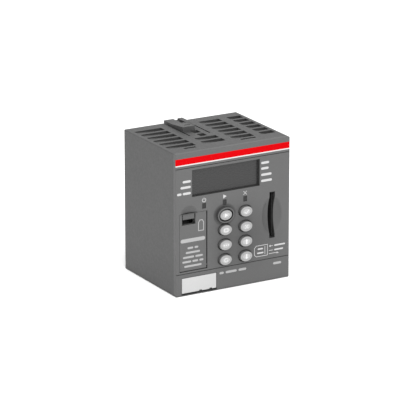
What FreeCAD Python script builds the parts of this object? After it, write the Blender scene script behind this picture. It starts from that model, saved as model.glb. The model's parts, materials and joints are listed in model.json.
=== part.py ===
"""Controller module: a slim plug-in processor unit with a display, eight keys, a card slot and a battery door.

Frame: millimetres. +X is to the right of the front face, +Y runs from the front to the rear, +Z is up.
The origin is the middle of the bounding box at the surface the module stands on.

Most places are given in face coordinates:
    u  across the front face, from its left edge
    v  down the front face, from its top edge
    d  depth behind the front plane (negative stands proud of it)
"""
import FreeCAD, Part
import math
import os

Vector = FreeCAD.Vector

# ---------------------------------------------------------------- driving dimensions
WIDTH = 67.5
HEIGHT = 76.0
DEPTH = 54.0                # front plane to the rear wall
PLUG_REACH = 8.0            # how far the rear plugs stand behind the rear wall
WALL = 2.0
COVER_DEPTH = 2.4           # thickness of the front cover, and the depth of its seam line
COVER_RIM = 1.2             # thickness of the rim that snaps into the housing
COVER_RIM_BACK = 6.0
EDGE_RADIUS = 0.6
FIT_GAP = 0.05              # between parts that snap or screw together
SLIDE_GAP = 0.1             # between a moving part and what guides it

KEY_SIZE = (7.2, 5.6)
KEY_HOLE_SIZE = (8.0, 6.4)
KEY_PROUD = 1.8
KEY_TRAVEL = 0.8
KEY_COLUMNS = (28.6, 40.8)
KEY_FIRST_ROW = 35.8
KEY_ROW_PITCH = 8.07
KEY_ROWS = 4
CAP_THICKNESS = 0.45
COLLAR_SIZE = (9.7, 8.2)
COLLAR_RIM = 0.7
COLLAR_PROUD = 1.7
FLANGE_SIZE = (9.4, 7.4)    # keeps the key behind the cover
FLANGE_THICKNESS = 0.95
STEM_RADIUS = 1.4
MAT_SHEET = 0.8
DOME_RADII = (1.5, 2.8)
DOME_HEIGHT = 2 * KEY_TRAVEL
CAP_MARGIN = 0.2            # the cap ends this far inside the edge of its key
CAP_ROUNDING = 0.3
LEGEND_SIZE = (4.8, 3.2)    # shallow panel in the cap, for its symbol
LEGEND_SINK = 0.05

STRIP_TOP = 2.65
STRIP_HEIGHT = 3.35
STRIP_LINE_HEIGHT = 0.6
STRIP_DEPTH = 0.4
GROOVES_V = (7.95, 64.1)    # middle of each fine groove across the face
GROOVE_WIDTH = 0.35

WINDOW_U = (9.5, 49.4)
WINDOW_V = (9.4, 23.6)
WINDOW_RECESS = 1.7
WINDOW_LEDGE = 1.1          # how far the pane reaches behind the cover, all round
PANE_THICKNESS = 1.2
GLASS_D = (3.6, 5.2)
GLASS_LEDGE = 1.2           # how far the display glass reaches past the window
LCD_FRAME_WALL = 1.0
LCD_FRAME_LIP = 0.6
LCD_CONNECTOR_HEIGHT = 1.5

LED_COLUMNS = (16.5, 28.6, 40.8)
LED_V = 29.3
LED_SIZE = (2.2, 2.9)
PIPE_SINK = 0.3             # the light guides' faces lie this far below the cover's
PIPE_BACK = 7.3
PIPE_FLANGE = 0.7
PIPE_FLANGE_D = (COVER_DEPTH, COVER_DEPTH + 0.8)
LAMP_SIZE = (1.6, 1.0)

SLOT_U = (55.4, 58.6)
SLOT_V = (28.15, 53.0)
SLOT_DISH = (56.9, 40.75, 12.25, 20.5, 2.0)      # u, v, width, height, depth
SCOOP_DISH = (7.8, 32.6, 10.4, 9.6, 1.2)

DOOR_U = (2.2, 17.8)
DOOR_V = (32.2, 62.8)
DOOR_THICKNESS = 2.2
DOOR_GAPS = (0.12, 0.6, 0.12, 0.2)  # left, right, above, below
DOOR_TOE = 0.5              # how far the door reaches below its knuckle
DOOR_TOE_ROUNDING = 0.6
LATCH_NOTCH_U = (3.6, 11.4)
LATCH_NOTCH_V = (32.4, 38.0)
LATCH_TAB_U = (4.1, 10.9)
LATCH_TAB_V = (32.5, 35.1)
LATCH_TRAVEL = 1.5
LATCH_SINK = 0.15           # the tab's face lies this far below the door's
LATCH_RAIL = 0.6
LATCH_PLATE_U = (LATCH_NOTCH_U[0], LATCH_NOTCH_U[1] + LATCH_RAIL)
LATCH_PLATE_D = (DOOR_THICKNESS + SLIDE_GAP, DOOR_THICKNESS + 0.9)
LATCH_BACK_D = 4.2
LATCH_FOOT_V = (39.6, 41.0)
LATCH_FOOT_INSET = 2.0      # from the edges of the latch's plate
LATCH_SPRING = (0.65, 0.13, 6)      # coil radius, wire radius and turns
TAB_SLOT_D = 0.8            # depth at which the slot for the tab starts
SPRING_SEAT_V = LATCH_FOOT_V[1] + LATCH_TRAVEL + 2.5
SPRING_SEAT_HEIGHT = 1.2
SPRING_SEAT_INSET = 1.4
HINGE_PIN_RADIUS = 0.5
HINGE_CLEARANCE = 0.05
HINGE_PIN_HOLD = 0.9        # how far the pin enters the cover at each end

LABEL_U = (3.5, 23.75)
LABEL_V = (66.5, 74.5)
LABEL_RECESS = 1.2
LABEL_SINK = 0.1            # how far the plate's face lies below the cover's
LABEL_GAPS = (0.25, 0.9)    # above and below it in the recess
LABEL_NICKS = (14.5, 20.5)

VENT_WIDTH = 4.5            # front to rear
VENT_PITCH = 6.45
VENT_FIRST_ROW = 8.9        # from the rear edge
VENT_COLUMNS = ((2.3, 18.0), (40.3, 52.5), (57.3, 65.2))
VENT_ROWS = 6
VENT_MIDDLE_COLUMN = (23.0, 35.5)
VENT_MIDDLE_ROWS = (4, 5)
VENT_OPEN_LENGTH = 4.5      # the part of each vent that goes right through
VENT_SHALLOW_END = 0.4      # depth of the ramp at its left end and where the opening starts
VENT_DEEP_END = 1.1
HALF_VENTS = ((9.4, 16.2), (42.8, 51.6))
HALF_VENT_WIDTH = 1.7
HALF_VENT_ROW = 46.0

TONGUE_U = (24.0, 35.0)     # snap latch, from its left to its right edge
TONGUE_ROOT = 25.0          # hinge line, from the rear edge
TONGUE_THICKNESS = 1.6
TONGUE_SLIT = 0.9
TONGUE_SLIT_END = 27.2
TONGUE_PAD_FOOT = 19.6       # thumb pad: its front wall, from the rear edge, at its foot and at its top
TONGUE_PAD_FRONT = 19.1
TONGUE_PAD_HEIGHT = 2.5
TONGUE_PAD_LEVEL = 7.0      # it falls from its front wall to here, and stays level to the rear
TONGUE_RISE = 1.3           # its height where it is level
TONGUE_REACH = 1.0          # how far its catch stands behind the rear wall
TONGUE_SWING = 4.0          # degrees the latch bends when pressed
TONGUE_WINDOW_U = (28.0, 32.0)
TONGUE_WINDOW_ROWS = (2, 3)  # the vent rows in line with its two windows
TONGUE_PAD_SPLIT = 31.0     # the pad is tall up to here and low to the right of it
TONGUE_LOW_FOOT = 14.0      # where the low part starts, from the rear edge
# Hollows in the pad: span in u, distances from the rear edge, and depth below the wall's face.
TONGUE_DIP = ((29.6, 32.2), (-1.5, 8.0), -0.5)
TONGUE_GRIP = ((29.6, 32.2), (2.6, 8.0), 0.9)
TONGUE_NICK = ((27.2, 31.4), (14.2, 15.4), -1.2)
BOTTOM_LATCH_SINK = 0.15    # keeps the lower latch off the surface the module stands on

BOARD_THICKNESS = 1.6
FRONT_BOARD_D = 8.0
FRONT_BOARD_MARGIN = 2.8
INNER_BOARD_D = (13.6, 46.0)
INNER_BOARD_V = (6.0, 70.0)
CPU_BOARD_U = 24.0
POWER_BOARD_U = 44.0
LINK_SIZE = (5.0, 34.0)     # connector between two boards, across and up
PROCESSOR = ((14.0, 30.0), (27.0, 43.0), 1.6)    # v, d, thickness
MEMORY = ((34.0, 46.0), 9.0, (28.0, 42.0), 1.2)  # tops, height, d, thickness
INTERFACE = ((12.0, 24.0, 36.0, 48.0), 7.0, (22.0, 32.0), 1.4)
CAPACITOR = (3.1, 10.0)     # radius, length
CAPACITOR_PLACES = ((52.0, 24.0), (52.0, 32.0), (60.0, 24.0), (60.0, 32.0))
CHOKE = (41.0, 28.0, 5.5, 2.2, 5.0)              # v, d, outer radius, hole radius, thickness
TRANSFORMER = ((12.0, 29.0), (20.0, 37.0), 10.0)
TRANSFORMER_LEG = 3.0
WINDING_GAP = 0.15          # between a winding and its core
WINDING_BULGE = 2.0         # how far the transformer's winding stands out of its core
CHOKE_WIRE = 0.6
CHOKE_TURNS = 12

BAY_U = (2.2, 19.9)
BAY_V = (31.2, 63.8)
BAY_WALL = 1.2
BAY_ROOM = 0.3              # round the bay in the parts that it passes through
BAY_BACK = 25.0
CELL_RADIUS = 7.25
CELL_LENGTH = 27.4
CELL_D = BAY_BACK - BAY_WALL - CELL_RADIUS - FIT_GAP
CELL_NUB_RADIUS = 2.6
CELL_NUB_HEIGHT = 1.0
CONTACT_WIDTH = 8.0
CONTACT_DEPTH = 6.0
CONTACT_SLIT = 0.5

SOCKET_U = (54.6, 59.4)
SOCKET_V = (26.6, 57.2)
SOCKET_D = (3.0, 32.0)
SOCKET_BACK = 1.0           # thickness of the socket's rear wall
SOCKET_CARD_U = (55.6, 58.4)
SOCKET_CARD_V = (28.1, 53.1)
EJECT_CHANNEL_V = (53.1, 56.4)
EJECT_SPRING = (1.0, 0.16, 8)       # coil radius, wire radius and turns
EJECT_SPRING_GAP = 0.25     # from the middle of its end turns to what it rests on
EJECT_TRAVEL = 4.0
SLIDER_D = (12.0, SOCKET_D[1] - SOCKET_BACK - EJECT_TRAVEL - 5.0)
SLIDER_ARM = (2.5, 1.6)     # how far the arm reaches into the card space, and its thickness
CARD_CONTACT_COUNT = 8
CARD_CONTACT_PITCH = 2.5
CARD_CONTACT_FIRST_V = 32.0
CARD_CONTACT_SIZE = (0.25, 1.0)
CARD_CONTACT_D = (16.0, 28.0)

REAR_COVER_THICKNESS = 2.0
PLUG_U = ((19.8, 29.8), (40.0, 50.0))
PLUG_V = (9.0, 67.0)
PLUG_WALL = 1.2
PLUG_FLOOR_D = 50.0
PLUG_KEY_V = (35.0, 38.0)   # slot in the left side, so that the plug fits one way only
PIN_SIZE = 0.64
PIN_TIP_D = 57.4
PIN_COLUMNS = (-1.6, 1.6)   # from the middle of the plug
PIN_ROWS = ((12, 4.6), (8, 7.0))    # number of pins and their pitch in each plug

SCREW_HEAD_RADIUS = 2.0
SCREW_HEAD_HEIGHT = 1.0
SCREW_SHANK_RADIUS = 1.0
SCREW_RECESS = (2.2, 0.5)   # length and width of the cross recess's arms; it is as deep as they are wide
SCREW_SINK = 0.2            # how far the rear screws lie below the rear face
SCREW_GRIP = 6.0            # how far a screw reaches past the part it holds
FRONT_SCREWS = ((6.0, 5.0), (61.5, 5.0), (28.0, 69.6), (61.5, 69.6))
REAR_SCREWS = ((6.5, 6.5), (61.0, 6.5), (6.5, 69.5), (61.0, 69.5))
REAR_BOSS_SIZE = 9.2
REAR_BOSS_DEPTH = 8.0

FRONT_Y = KEY_PROUD - (KEY_PROUD + DEPTH + PLUG_REACH) / 2


# ---------------------------------------------------------------- shape helpers
def at(u, v, d):
    """The point at face coordinates u, v and depth d."""
    return Vector(u - WIDTH / 2, FRONT_Y + d, HEIGHT - v)


def block(u_span, v_span, d_span):
    """A box between two values on each face coordinate."""
    size = [span[1] - span[0] for span in (u_span, v_span, d_span)]
    return Part.makeBox(size[0], size[2], size[1], at(u_span[0], v_span[1], d_span[0]))


def centred(u, v, width, height, d_span):
    """A box centred on a point of the face."""
    return block((u - width / 2, u + width / 2), (v - height / 2, v + height / 2), d_span)


def oval(u, v, size, d_span):
    """An elliptical prism along the depth; size is its width and height."""
    curve = Part.Ellipse(Vector(0, 0, 0), size[0] / 2, size[1] / 2)
    face = Part.Face(Part.Wire([curve.toShape()]))
    prism = face.extrude(Vector(0, 0, d_span[1] - d_span[0]))
    prism.rotate(Vector(0, 0, 0), Vector(1, 0, 0), -90)
    prism.translate(at(u, v, d_span[0]))
    return prism


def rod(u, v, radius, d_span):
    """A round bar along the depth."""
    return Part.makeCylinder(radius, d_span[1] - d_span[0], at(u, v, d_span[0]), Vector(0, 1, 0))


def cross_rod(u_span, v, d, radius):
    """A round bar across the width."""
    return Part.makeCylinder(radius, u_span[1] - u_span[0], at(u_span[0], v, d), Vector(1, 0, 0))


def upright_rod(u, v_span, d, radius):
    """A round bar up the height."""
    return Part.makeCylinder(radius, v_span[1] - v_span[0], at(u, v_span[1], d), Vector(0, 0, 1))


def dish(u, v, width, height, depth):
    """The shallow oval hollow of a finger dish: a ball cap stretched to width by height."""
    radius = width / 2
    ball_radius = (radius ** 2 + depth ** 2) / (2 * depth)
    ball = Part.makeSphere(ball_radius, Vector(0, depth - ball_radius, 0))
    stretch = FreeCAD.Matrix()
    stretch.scale(1, 1, height / width)
    ball = ball.transformGeometry(stretch)
    ball.translate(at(u, v, 0))
    return ball


def grow(span, margin):
    """The span made longer by the margin at both ends."""
    return (span[0] - margin, span[1] + margin)


def joined(shapes):
    """One solid from shapes that overlap or touch."""
    return shapes[0].multiFuse(shapes[1:]).removeSplitter()


def cut_all(shape, tools):
    """The shape with every tool taken away."""
    return shape.cut(Part.makeCompound(tools)) if len(tools) > 1 else shape.cut(tools[0])


def coil_spring(start, direction, length, radius, wire_radius, turns):
    """A round-wire compression spring along a direction, from a start point."""
    helix = Part.makeHelix(length / turns, length, radius)
    ring = Part.Wire([Part.Circle(Vector(radius, 0, 0), Vector(0, 1, 0), wire_radius).toShape()])
    spring = Part.Wire(helix.Edges).makePipeShell([ring], True, True)
    turn = FreeCAD.Rotation(Vector(0, 0, 1), direction)
    spring.Placement = FreeCAD.Placement(start, turn)
    return spring


def key_places():
    """Number and face position of each key, down the left column and then the right."""
    places = []
    for column, u in enumerate(KEY_COLUMNS):
        for row in range(KEY_ROWS):
            places.append((column * KEY_ROWS + row + 1, u, KEY_FIRST_ROW + row * KEY_ROW_PITCH))
    return places


# ---------------------------------------------------------------- housing
def from_rear(distance):
    """Depth of a point that lies a distance in front of the rear edge."""
    return DEPTH - distance


def vent(u_span, row_distance, width):
    """One vent in the top wall: a ramp that deepens from its left end to an opening at its right end."""
    left, right = u_span
    opening = min(VENT_OPEN_LENGTH, (right - left) / 2)
    d_front = from_rear(row_distance + width / 2)
    outline = [
        at(left, -1, d_front),
        at(right, -1, d_front),
        at(right, WALL + 1, d_front),
        at(right - opening, WALL + 1, d_front),
        at(right - opening, VENT_DEEP_END, d_front),
        at(left, VENT_SHALLOW_END, d_front),
    ]
    face = Part.Face(Part.makePolygon(outline + outline[:1]))
    return face.extrude(Vector(0, width, 0))


def vents():
    """All vents of the top wall."""
    cuts = []
    for row in range(VENT_ROWS):
        distance = VENT_FIRST_ROW + row * VENT_PITCH
        cuts += [vent(column, distance, VENT_WIDTH) for column in VENT_COLUMNS]
        if row in VENT_MIDDLE_ROWS:
            cuts.append(vent(VENT_MIDDLE_COLUMN, distance, VENT_WIDTH))
    cuts += [vent(span, HALF_VENT_ROW, HALF_VENT_WIDTH) for span in HALF_VENTS]
    return cuts


def tongue_window(row):
    """The small window of the snap latch in line with one row of vents."""
    distance = VENT_FIRST_ROW + row * VENT_PITCH
    d_span = (from_rear(distance + VENT_WIDTH / 2), from_rear(distance - VENT_WIDTH / 2))
    return block(TONGUE_WINDOW_U, (-TONGUE_PAD_HEIGHT - 1, WALL + 1), d_span)


def tongue_hollow(u_span, distances, depth):
    """A hollow in the top of the snap latch, down to a depth below the wall's face."""
    return block(u_span, (-TONGUE_PAD_HEIGHT - 1, depth), (from_rear(distances[1]), from_rear(distances[0])))


def tongue_notch():
    """The space for the snap latch in the top wall, with its two slits and the window in front of its root."""
    outer_u = grow(TONGUE_U, TONGUE_SLIT)
    through = (-1, WALL + 1)
    return [
        block(outer_u, through, (from_rear(TONGUE_ROOT), DEPTH + 1)),
        block((outer_u[0], TONGUE_U[0]), through, (from_rear(TONGUE_SLIT_END), DEPTH)),
        block((TONGUE_U[1], outer_u[1]), through, (from_rear(TONGUE_SLIT_END), DEPTH)),
        tongue_window(TONGUE_WINDOW_ROWS[1]),
    ]


def mirrored_down(shapes):
    """Copies of shapes turned over to the bottom wall."""
    middle = Vector(0, 0, HEIGHT / 2)
    return [shape.mirror(middle, Vector(0, 0, 1)) for shape in shapes]


def long_edges(shape):
    """The edges of a box that run from front to rear."""
    return [e for e in shape.Edges if abs(e.tangentAt(e.FirstParameter).y) > 0.99]


def housing_blank(d_span):
    """A block of the housing's outline with its long edges rounded."""
    blank = block((0, WIDTH), (0, HEIGHT), d_span)
    return blank.makeFillet(EDGE_RADIUS, long_edges(blank))


def main_housing():
    """The sleeve that holds everything, open at the front and the rear, with vents above and below."""
    inner_u = (WALL, WIDTH - WALL)
    inner_v = (WALL, HEIGHT - WALL)
    cavity = block(inner_u, inner_v, (0, DEPTH + 1))
    shell = housing_blank((COVER_DEPTH, DEPTH)).cut(cavity)
    boss_d = (DEPTH - REAR_COVER_THICKNESS - REAR_BOSS_DEPTH, DEPTH - REAR_COVER_THICKNESS)
    bosses = []
    for u, v in REAR_SCREWS:
        bosses.append(centred(u, v, REAR_BOSS_SIZE, REAR_BOSS_SIZE, boss_d).common(cavity))
    shell = joined([shell] + bosses)
    openings = vents() + tongue_notch()
    holes = [rod(u, v, SCREW_SHANK_RADIUS + FIT_GAP, boss_d) for u, v in REAR_SCREWS]
    return cut_all(shell, openings + mirrored_down(openings) + holes)


def pad_slab(u_span, profile, tip_d):
    """One width of a thumb pad: a profile of (distance from the rear, height) points, level on to the latch's tip."""
    left, right = u_span
    outline = [at(left, -height, from_rear(distance)) for distance, height in profile]
    outline += [at(left, -profile[-1][1], tip_d), at(left, 0, tip_d)]
    face = Part.Face(Part.makePolygon(outline + outline[:1]))
    return face.extrude(Vector(right - left, 0, 0))


def thumb_pad(tip_d):
    """The raised pad of a snap latch: a tall wedge with a front wall, and a low wedge to its right."""
    level = (TONGUE_PAD_LEVEL, TONGUE_RISE)
    tall = [(TONGUE_PAD_FOOT, 0), (TONGUE_PAD_FRONT, TONGUE_PAD_HEIGHT), level]
    low = [(TONGUE_LOW_FOOT, 0), level]
    return joined([
        pad_slab((TONGUE_U[0], TONGUE_PAD_SPLIT), tall, tip_d),
        pad_slab((TONGUE_PAD_SPLIT, TONGUE_U[1]), low, tip_d),
    ])


def snap_latch(with_pad):
    """The snap latch of the top wall: a tongue that bends at its root, with a catch at its rear end."""
    root_d = from_rear(TONGUE_ROOT)
    axis_v = TONGUE_THICKNESS / 2
    axis_d = root_d + SLIDE_GAP + axis_v
    tip_d = DEPTH + TONGUE_REACH
    pieces = [
        block(TONGUE_U, (0, TONGUE_THICKNESS), (axis_d, tip_d)),
        cross_rod(TONGUE_U, axis_v, axis_d, axis_v),
    ]
    if with_pad:
        pieces.append(thumb_pad(tip_d))
    latch = joined(pieces)
    cuts = [tongue_window(TONGUE_WINDOW_ROWS[0])]
    cuts += [tongue_hollow(*place) for place in (TONGUE_DIP, TONGUE_GRIP, TONGUE_NICK)]
    return cut_all(latch, cuts)


def bottom_latch():
    """The snap latch of the bottom wall: without a pad, and sunk a little."""
    latch = mirrored_down([snap_latch(with_pad=False)])[0]
    latch.translate(Vector(0, 0, BOTTOM_LATCH_SINK))
    return latch


def rear_cover():
    """The plate that closes the rear of the housing around the two plugs."""
    plate = block((WALL + FIT_GAP, WIDTH - WALL - FIT_GAP), (WALL + FIT_GAP, HEIGHT - WALL - FIT_GAP),
                  (DEPTH - REAR_COVER_THICKNESS, DEPTH))
    every_d = (DEPTH - REAR_COVER_THICKNESS - 1, DEPTH + 1)
    cuts = [block(grow(u_span, FIT_GAP), grow(PLUG_V, FIT_GAP), every_d) for u_span in PLUG_U]
    swing = TONGUE_ROOT * math.tan(math.radians(TONGUE_SWING))
    swing_room = block(grow(TONGUE_U, TONGUE_SLIT), (0, TONGUE_THICKNESS + swing + TONGUE_SLIT), every_d)
    cuts += [swing_room] + mirrored_down([swing_room])
    head_d = (DEPTH - SCREW_HEAD_HEIGHT - SCREW_SINK, DEPTH + 1)
    for u, v in REAR_SCREWS:
        cuts.append(rod(u, v, SCREW_SHANK_RADIUS + FIT_GAP, every_d))
        cuts.append(rod(u, v, SCREW_HEAD_RADIUS + 2 * FIT_GAP, head_d))
    return cut_all(plate, cuts)


def screw(u, v, head_d, tip_d):
    """A cross-recess screw along the depth, from its head's top to its tip."""
    inwards = 1 if tip_d > head_d else -1
    seat_d = head_d + inwards * SCREW_HEAD_HEIGHT
    head = rod(u, v, SCREW_HEAD_RADIUS, sorted((head_d, seat_d)))
    shank = rod(u, v, SCREW_SHANK_RADIUS, sorted((seat_d, tip_d)))
    length, width = SCREW_RECESS
    recess_d = sorted((head_d - inwards, head_d + width * inwards))
    cross = [centred(u, v, length, width, recess_d), centred(u, v, width, length, recess_d)]
    return cut_all(joined([head, shank]), cross)


def rear_cover_screws():
    """The four screws of the rear cover, sunk flush."""
    tip_d = DEPTH - REAR_COVER_THICKNESS - SCREW_GRIP
    return Part.makeCompound([screw(u, v, DEPTH - SCREW_SINK, tip_d) for u, v in REAR_SCREWS])


# ---------------------------------------------------------------- front cover
def cover_blank():
    """The cover's block, with its front edges and its corners rounded."""
    blank = housing_blank((0, COVER_DEPTH))
    front = [e for e in blank.Edges if all(abs(vertex.Y - FRONT_Y) < 0.001 for vertex in e.Vertexes)]
    return blank.makeFillet(EDGE_RADIUS * 0.8, front)


def door_opening():
    """Spans of the hole that the battery door closes."""
    left, right, above, below = DOOR_GAPS
    return (DOOR_U[0] - left, DOOR_U[1] + right), (DOOR_V[0] - above, DOOR_V[1] + below)


def door_axis():
    """Face position and depth of the battery door's hinge line."""
    half = DOOR_THICKNESS / 2
    return DOOR_V[1] - DOOR_TOE - half, half


def bay_room(d_span):
    """The space that the battery bay needs, open to the left."""
    return block((0, BAY_U[1] + BAY_ROOM), grow(BAY_V, BAY_ROOM), d_span)


def cover_rim():
    """The rim behind the cover that snaps into the housing."""
    outer_u = (WALL + FIT_GAP, WIDTH - WALL - FIT_GAP)
    outer_v = (WALL + FIT_GAP, HEIGHT - WALL - FIT_GAP)
    rim_d = (COVER_DEPTH / 2, COVER_RIM_BACK)
    inside = block(grow(outer_u, -COVER_RIM), grow(outer_v, -COVER_RIM), rim_d)
    return block(outer_u, outer_v, rim_d).cut(inside).cut(bay_room((COVER_DEPTH, COVER_RIM_BACK + 1)))


def collar():
    """The raised ring around the first key."""
    _, u, v = key_places()[0]
    ring_d = (-COLLAR_PROUD, COVER_DEPTH / 2)
    inner = (COLLAR_SIZE[0] - 2 * COLLAR_RIM, COLLAR_SIZE[1] - 2 * COLLAR_RIM)
    return oval(u, v, COLLAR_SIZE, ring_d).cut(oval(u, v, inner, ring_d))


def front_cover():
    """The face of the module: one moulding with all openings, hollows and screw posts."""
    posts = [rod(u, v, SCREW_HEAD_RADIUS, (COVER_DEPTH / 2, FRONT_BOARD_D)) for u, v in FRONT_SCREWS]
    body = joined([cover_blank(), cover_rim(), collar()] + posts)
    through = (-KEY_PROUD - 1, COVER_DEPTH + 1)
    opening_u, opening_v = door_opening()
    cuts = [block((-1, WIDTH + 1), (STRIP_TOP, STRIP_TOP + STRIP_HEIGHT + STRIP_LINE_HEIGHT), (-1, STRIP_DEPTH))]
    cuts += [block((-1, WIDTH + 1), grow((v, v), GROOVE_WIDTH / 2), (-1, GROOVE_WIDTH)) for v in GROOVES_V]
    cuts.append(block(WINDOW_U, WINDOW_V, through))
    pane_margin = WINDOW_LEDGE + FIT_GAP
    cuts.append(block(grow(WINDOW_U, pane_margin), grow(WINDOW_V, pane_margin), (WINDOW_RECESS, COVER_DEPTH + 1)))
    cuts += [centred(u, LED_V, LED_SIZE[0], LED_SIZE[1], through) for u in LED_COLUMNS]
    cuts += [oval(u, v, KEY_HOLE_SIZE, through) for _, u, v in key_places()]
    cuts.append(block(SLOT_U, SLOT_V, through))
    cuts += [dish(*SLOT_DISH), dish(*SCOOP_DISH)]
    cuts.append(block(opening_u, opening_v, through))
    above, below = LABEL_GAPS
    cuts.append(block(grow(LABEL_U, above), (LABEL_V[0] - above, LABEL_V[1] + below), (-1, LABEL_RECESS)))
    axis_v, axis_d = door_axis()
    pin_radius = HINGE_PIN_RADIUS + FIT_GAP / 2
    cuts.append(cross_rod(grow(opening_u, HINGE_PIN_HOLD + FIT_GAP), axis_v, axis_d, pin_radius))
    hole_d = (COVER_DEPTH + 1, FRONT_BOARD_D + 1)
    cuts += [rod(u, v, SCREW_SHANK_RADIUS + FIT_GAP, hole_d) for u, v in FRONT_SCREWS]
    return cut_all(body, cuts)


def face_strip(v_span):
    """A thin coloured strip across the face, rounded at its ends like the cover."""
    return block((-1, WIDTH + 1), v_span, (-1, STRIP_DEPTH)).common(cover_blank())


def red_strip():
    """The red band near the top of the face."""
    return face_strip((STRIP_TOP, STRIP_TOP + STRIP_HEIGHT))


def strip_line():
    """The white line under the red band."""
    line_top = STRIP_TOP + STRIP_HEIGHT
    return face_strip((line_top, line_top + STRIP_LINE_HEIGHT))


def marker_label():
    """The white marking plate, clipped into its recess, with two nicks in its lower edge."""
    plate = block(LABEL_U, LABEL_V, (LABEL_SINK, LABEL_RECESS))
    nicks = [centred(u, LABEL_V[1], 1.6, 1.0, (-1, LABEL_RECESS + 1)) for u in LABEL_NICKS]
    return cut_all(plate, nicks)


# ---------------------------------------------------------------- display and lights
def display_window():
    """The smoked pane in front of the display."""
    return block(grow(WINDOW_U, WINDOW_LEDGE), grow(WINDOW_V, WINDOW_LEDGE),
                 (WINDOW_RECESS, WINDOW_RECESS + PANE_THICKNESS))


GLASS_U = grow(WINDOW_U, GLASS_LEDGE)
GLASS_V = grow(WINDOW_V, GLASS_LEDGE / 1.5)


def lcd_frame():
    """The frame that holds the display against its board."""
    front_d = GLASS_D[0] - LCD_FRAME_LIP
    frame = block(grow(GLASS_U, LCD_FRAME_WALL), grow(GLASS_V, LCD_FRAME_WALL), (front_d, FRONT_BOARD_D))
    view = block(WINDOW_U, WINDOW_V, (front_d - 1, GLASS_D[1]))
    pocket = block(grow(GLASS_U, SLIDE_GAP), grow(GLASS_V, SLIDE_GAP), (GLASS_D[0], FRONT_BOARD_D + 1))
    return cut_all(frame, [view, pocket])


def lcd_glass():
    """The glass of the display."""
    return block(GLASS_U, GLASS_V, GLASS_D)


def backlight_panel():
    """The light guide behind the display glass."""
    return block(GLASS_U, grow(GLASS_V, -LCD_CONNECTOR_HEIGHT - SLIDE_GAP), (GLASS_D[1], FRONT_BOARD_D))


def lcd_connectors():
    """The two rubber strips that join the display glass to the board."""
    depth = (GLASS_D[1], FRONT_BOARD_D)
    return Part.makeCompound([
        block(GLASS_U, (GLASS_V[0], GLASS_V[0] + LCD_CONNECTOR_HEIGHT), depth),
        block(GLASS_U, (GLASS_V[1] - LCD_CONNECTOR_HEIGHT, GLASS_V[1]), depth),
    ])


def led_light_pipes():
    """The three light guides behind the status windows."""
    pipes = []
    for u in LED_COLUMNS:
        stem = centred(u, LED_V, LED_SIZE[0] - SLIDE_GAP, LED_SIZE[1] - SLIDE_GAP, (PIPE_SINK, PIPE_BACK))
        flange = centred(u, LED_V, LED_SIZE[0] + PIPE_FLANGE, LED_SIZE[1] + PIPE_FLANGE, PIPE_FLANGE_D)
        pipes.append(joined([stem, flange]))
    return Part.makeCompound(pipes)


def status_leds():
    """The three status lamps on the front board."""
    lamp_d = (PIPE_BACK + FIT_GAP, FRONT_BOARD_D)
    return Part.makeCompound([centred(u, LED_V, LAMP_SIZE[0], LAMP_SIZE[1], lamp_d) for u in LED_COLUMNS])


# ---------------------------------------------------------------- keys
MAT_SHEET_D = FRONT_BOARD_D - MAT_SHEET
DOME_TOP_D = MAT_SHEET_D - DOME_HEIGHT


def key_plunger(u, v):
    """The dark body of a key, with the flange that keeps it in the cover and the stem that presses the mat."""
    shaft = oval(u, v, KEY_SIZE, (CAP_THICKNESS - KEY_PROUD, COVER_DEPTH + FIT_GAP))
    flange_back = COVER_DEPTH + FIT_GAP + FLANGE_THICKNESS
    flange = oval(u, v, FLANGE_SIZE, (COVER_DEPTH + FIT_GAP, flange_back))
    stem = rod(u, v, STEM_RADIUS, (flange_back, DOME_TOP_D))
    return joined([shaft, flange, stem])


def key_cap(u, v):
    """The light top of a key, rounded at its front edge, with a shallow panel for its symbol."""
    size = (KEY_SIZE[0] - 2 * CAP_MARGIN, KEY_SIZE[1] - 2 * CAP_MARGIN)
    cap = oval(u, v, size, (-KEY_PROUD, CAP_THICKNESS - KEY_PROUD))
    front = [e for e in cap.Edges if e.BoundBox.YMax < FRONT_Y - KEY_PROUD + 0.01]
    panel = oval(u, v, LEGEND_SIZE, (-KEY_PROUD - 1, LEGEND_SINK - KEY_PROUD))
    return cap.makeFillet(CAP_ROUNDING, front).cut(panel)


def keypad_mat():
    """The rubber mat under the keys, with a dome under each."""
    places = key_places()
    last_row = KEY_FIRST_ROW + (KEY_ROWS - 1) * KEY_ROW_PITCH
    sheet = block(grow(KEY_COLUMNS, FLANGE_SIZE[0] / 2), grow((KEY_FIRST_ROW, last_row), FLANGE_SIZE[1] / 2),
                  (MAT_SHEET_D, FRONT_BOARD_D))
    top_radius, foot_radius = DOME_RADII
    domes = []
    for _, u, v in places:
        domes.append(Part.makeCone(top_radius, foot_radius, DOME_HEIGHT, at(u, v, DOME_TOP_D), Vector(0, 1, 0)))
    return joined([sheet] + domes)


# ---------------------------------------------------------------- battery
def is_door_edge(edge):
    """True for the front edge at the foot of the door's toe."""
    box = edge.BoundBox
    foot = at(0, DOOR_V[1], 0)
    return box.YMax < foot.y + 0.01 and box.ZMax < foot.z + 0.01


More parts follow.
